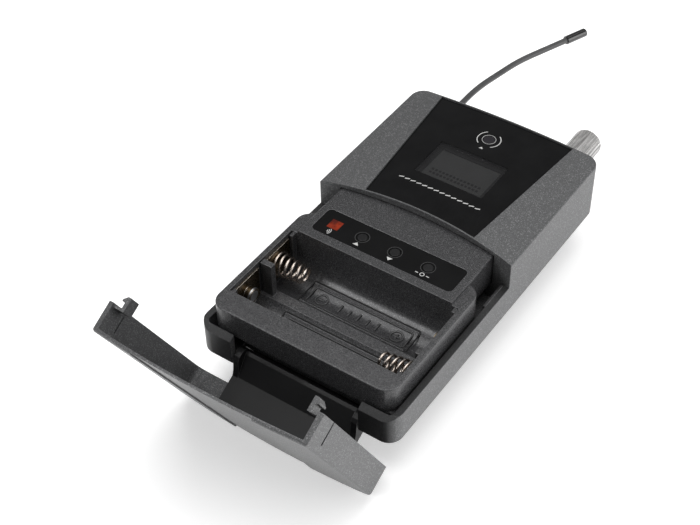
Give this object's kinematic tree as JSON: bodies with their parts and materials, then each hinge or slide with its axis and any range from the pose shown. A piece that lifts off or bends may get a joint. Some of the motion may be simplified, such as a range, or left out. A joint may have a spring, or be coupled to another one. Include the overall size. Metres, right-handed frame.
{
  "type": "wireless in-ear monitor bodypack receiver",
  "caption": "Belt-worn wireless bodypack with hinged battery door, two-cell bay, display window, volume knob, whip antenna and belt clip.",
  "frame": {"origin": "middle of the belt clip's flat resting face", "axes": "+Z out of the pack's face, +Y towards the antenna end, +X across the pack towards the volume knob"},
  "size_m": [0.066, 0.2223, 0.0582],
  "materials": {
    "housing_plastic": "satin metallic-flake moulded plastic",
    "black_plastic": "satin black moulded plastic",
    "panel_acrylic": "polished black acrylic",
    "label_film": "satin black film",
    "display_window": "dark tinted window",
    "display_glass": "unlit display",
    "red_window": "translucent red filter",
    "sensor_lens": "dark infrared lens",
    "circuit_board": "solder-masked board",
    "component_black": "moulded component",
    "spring_steel": "nickel-plated spring wire",
    "contact_plate": "nickel-plated contact strip",
    "steel": "zinc-plated steel",
    "tin_shield": "tinned shield",
    "knob_metal": "ribbed satin silver",
    "antenna_rubber": "black antenna sleeve",
    "jack_metal": "nickel-plated nut"
  },
  "bodies": {
    "pack": {"front_housing": "housing_plastic", "back_cover": "housing_plastic", "cover_screws": "steel", "battery_tray": "housing_plastic", "control_label": "label_film", "ir_window": "red_window", "tact_switches": "component_black", "display_panel": "panel_acrylic", "lcd_lens": "display_window", "lcd_module": "display_glass", "lcd_bracket": "black_plastic", "ir_sensor": "sensor_lens", "main_board": "circuit_board", "shield_can": "tin_shield", "processor_chip": "component_black", "ir_receiver": "component_black", "rear_cell_spring": "spring_steel", "rear_spring_contact": "contact_plate", "rear_plus_contact": "contact_plate", "front_cell_spring": "spring_steel", "front_spring_contact": "contact_plate", "front_plus_contact": "contact_plate", "antenna_collar": "antenna_rubber", "antenna_whip": "antenna_rubber", "antenna_tip": "antenna_rubber", "earphone_jack": "black_plastic", "jack_nut": "jack_metal", "volume_pot": "component_black", "hinge_pin": "steel", "clip_bracket": "black_plastic", "bracket_screws": "steel", "clip_pin": "steel", "clip_spring": "spring_steel"},
    "door": {"battery_door": "housing_plastic", "hinge_arm": "black_plastic"},
    "knob": {"volume_shaft": "steel", "volume_knob": "knob_metal"},
    "up_key": {"up_button": "black_plastic"},
    "down_key": {"down_button": "black_plastic"},
    "set_key": {"set_button": "black_plastic"},
    "clip": {"belt_clip": "black_plastic"}
  },
  "joints": [
    {"name": "door_hinge", "type": "hinge", "parent": "pack", "child": "door", "pos_m": [0, -0.0626, 0.014], "axis": [1, 0, 0], "range_deg": [-118.5, 0]},
    {"name": "volume_turn", "type": "hinge", "parent": "pack", "child": "knob", "pos_m": [0.0217, 0.048, 0.0243], "axis": [0, 1, 0], "range_deg": [-150, 150]},
    {"name": "clip_hinge", "type": "hinge", "parent": "pack", "child": "clip", "pos_m": [0, 0.024, 0.0075], "axis": [1, 0, 0], "range_deg": [0, 20], "stiffness_Nm_per_rad": 0.05, "springref_deg": -17.19},
    {"name": "up_press", "type": "slide", "parent": "pack", "child": "up_key", "axis": [0, 0, -1], "range_m": [0, 0.0004], "stiffness_N_per_m": 500, "springref_m": -0.0008},
    {"name": "down_press", "type": "slide", "parent": "pack", "child": "down_key", "axis": [0, 0, -1], "range_m": [0, 0.0004], "stiffness_N_per_m": 500, "springref_m": -0.0008},
    {"name": "set_press", "type": "slide", "parent": "pack", "child": "set_key", "axis": [0, 0, -1], "range_m": [0, 0.0004], "stiffness_N_per_m": 500, "springref_m": -0.0008}
  ]
}
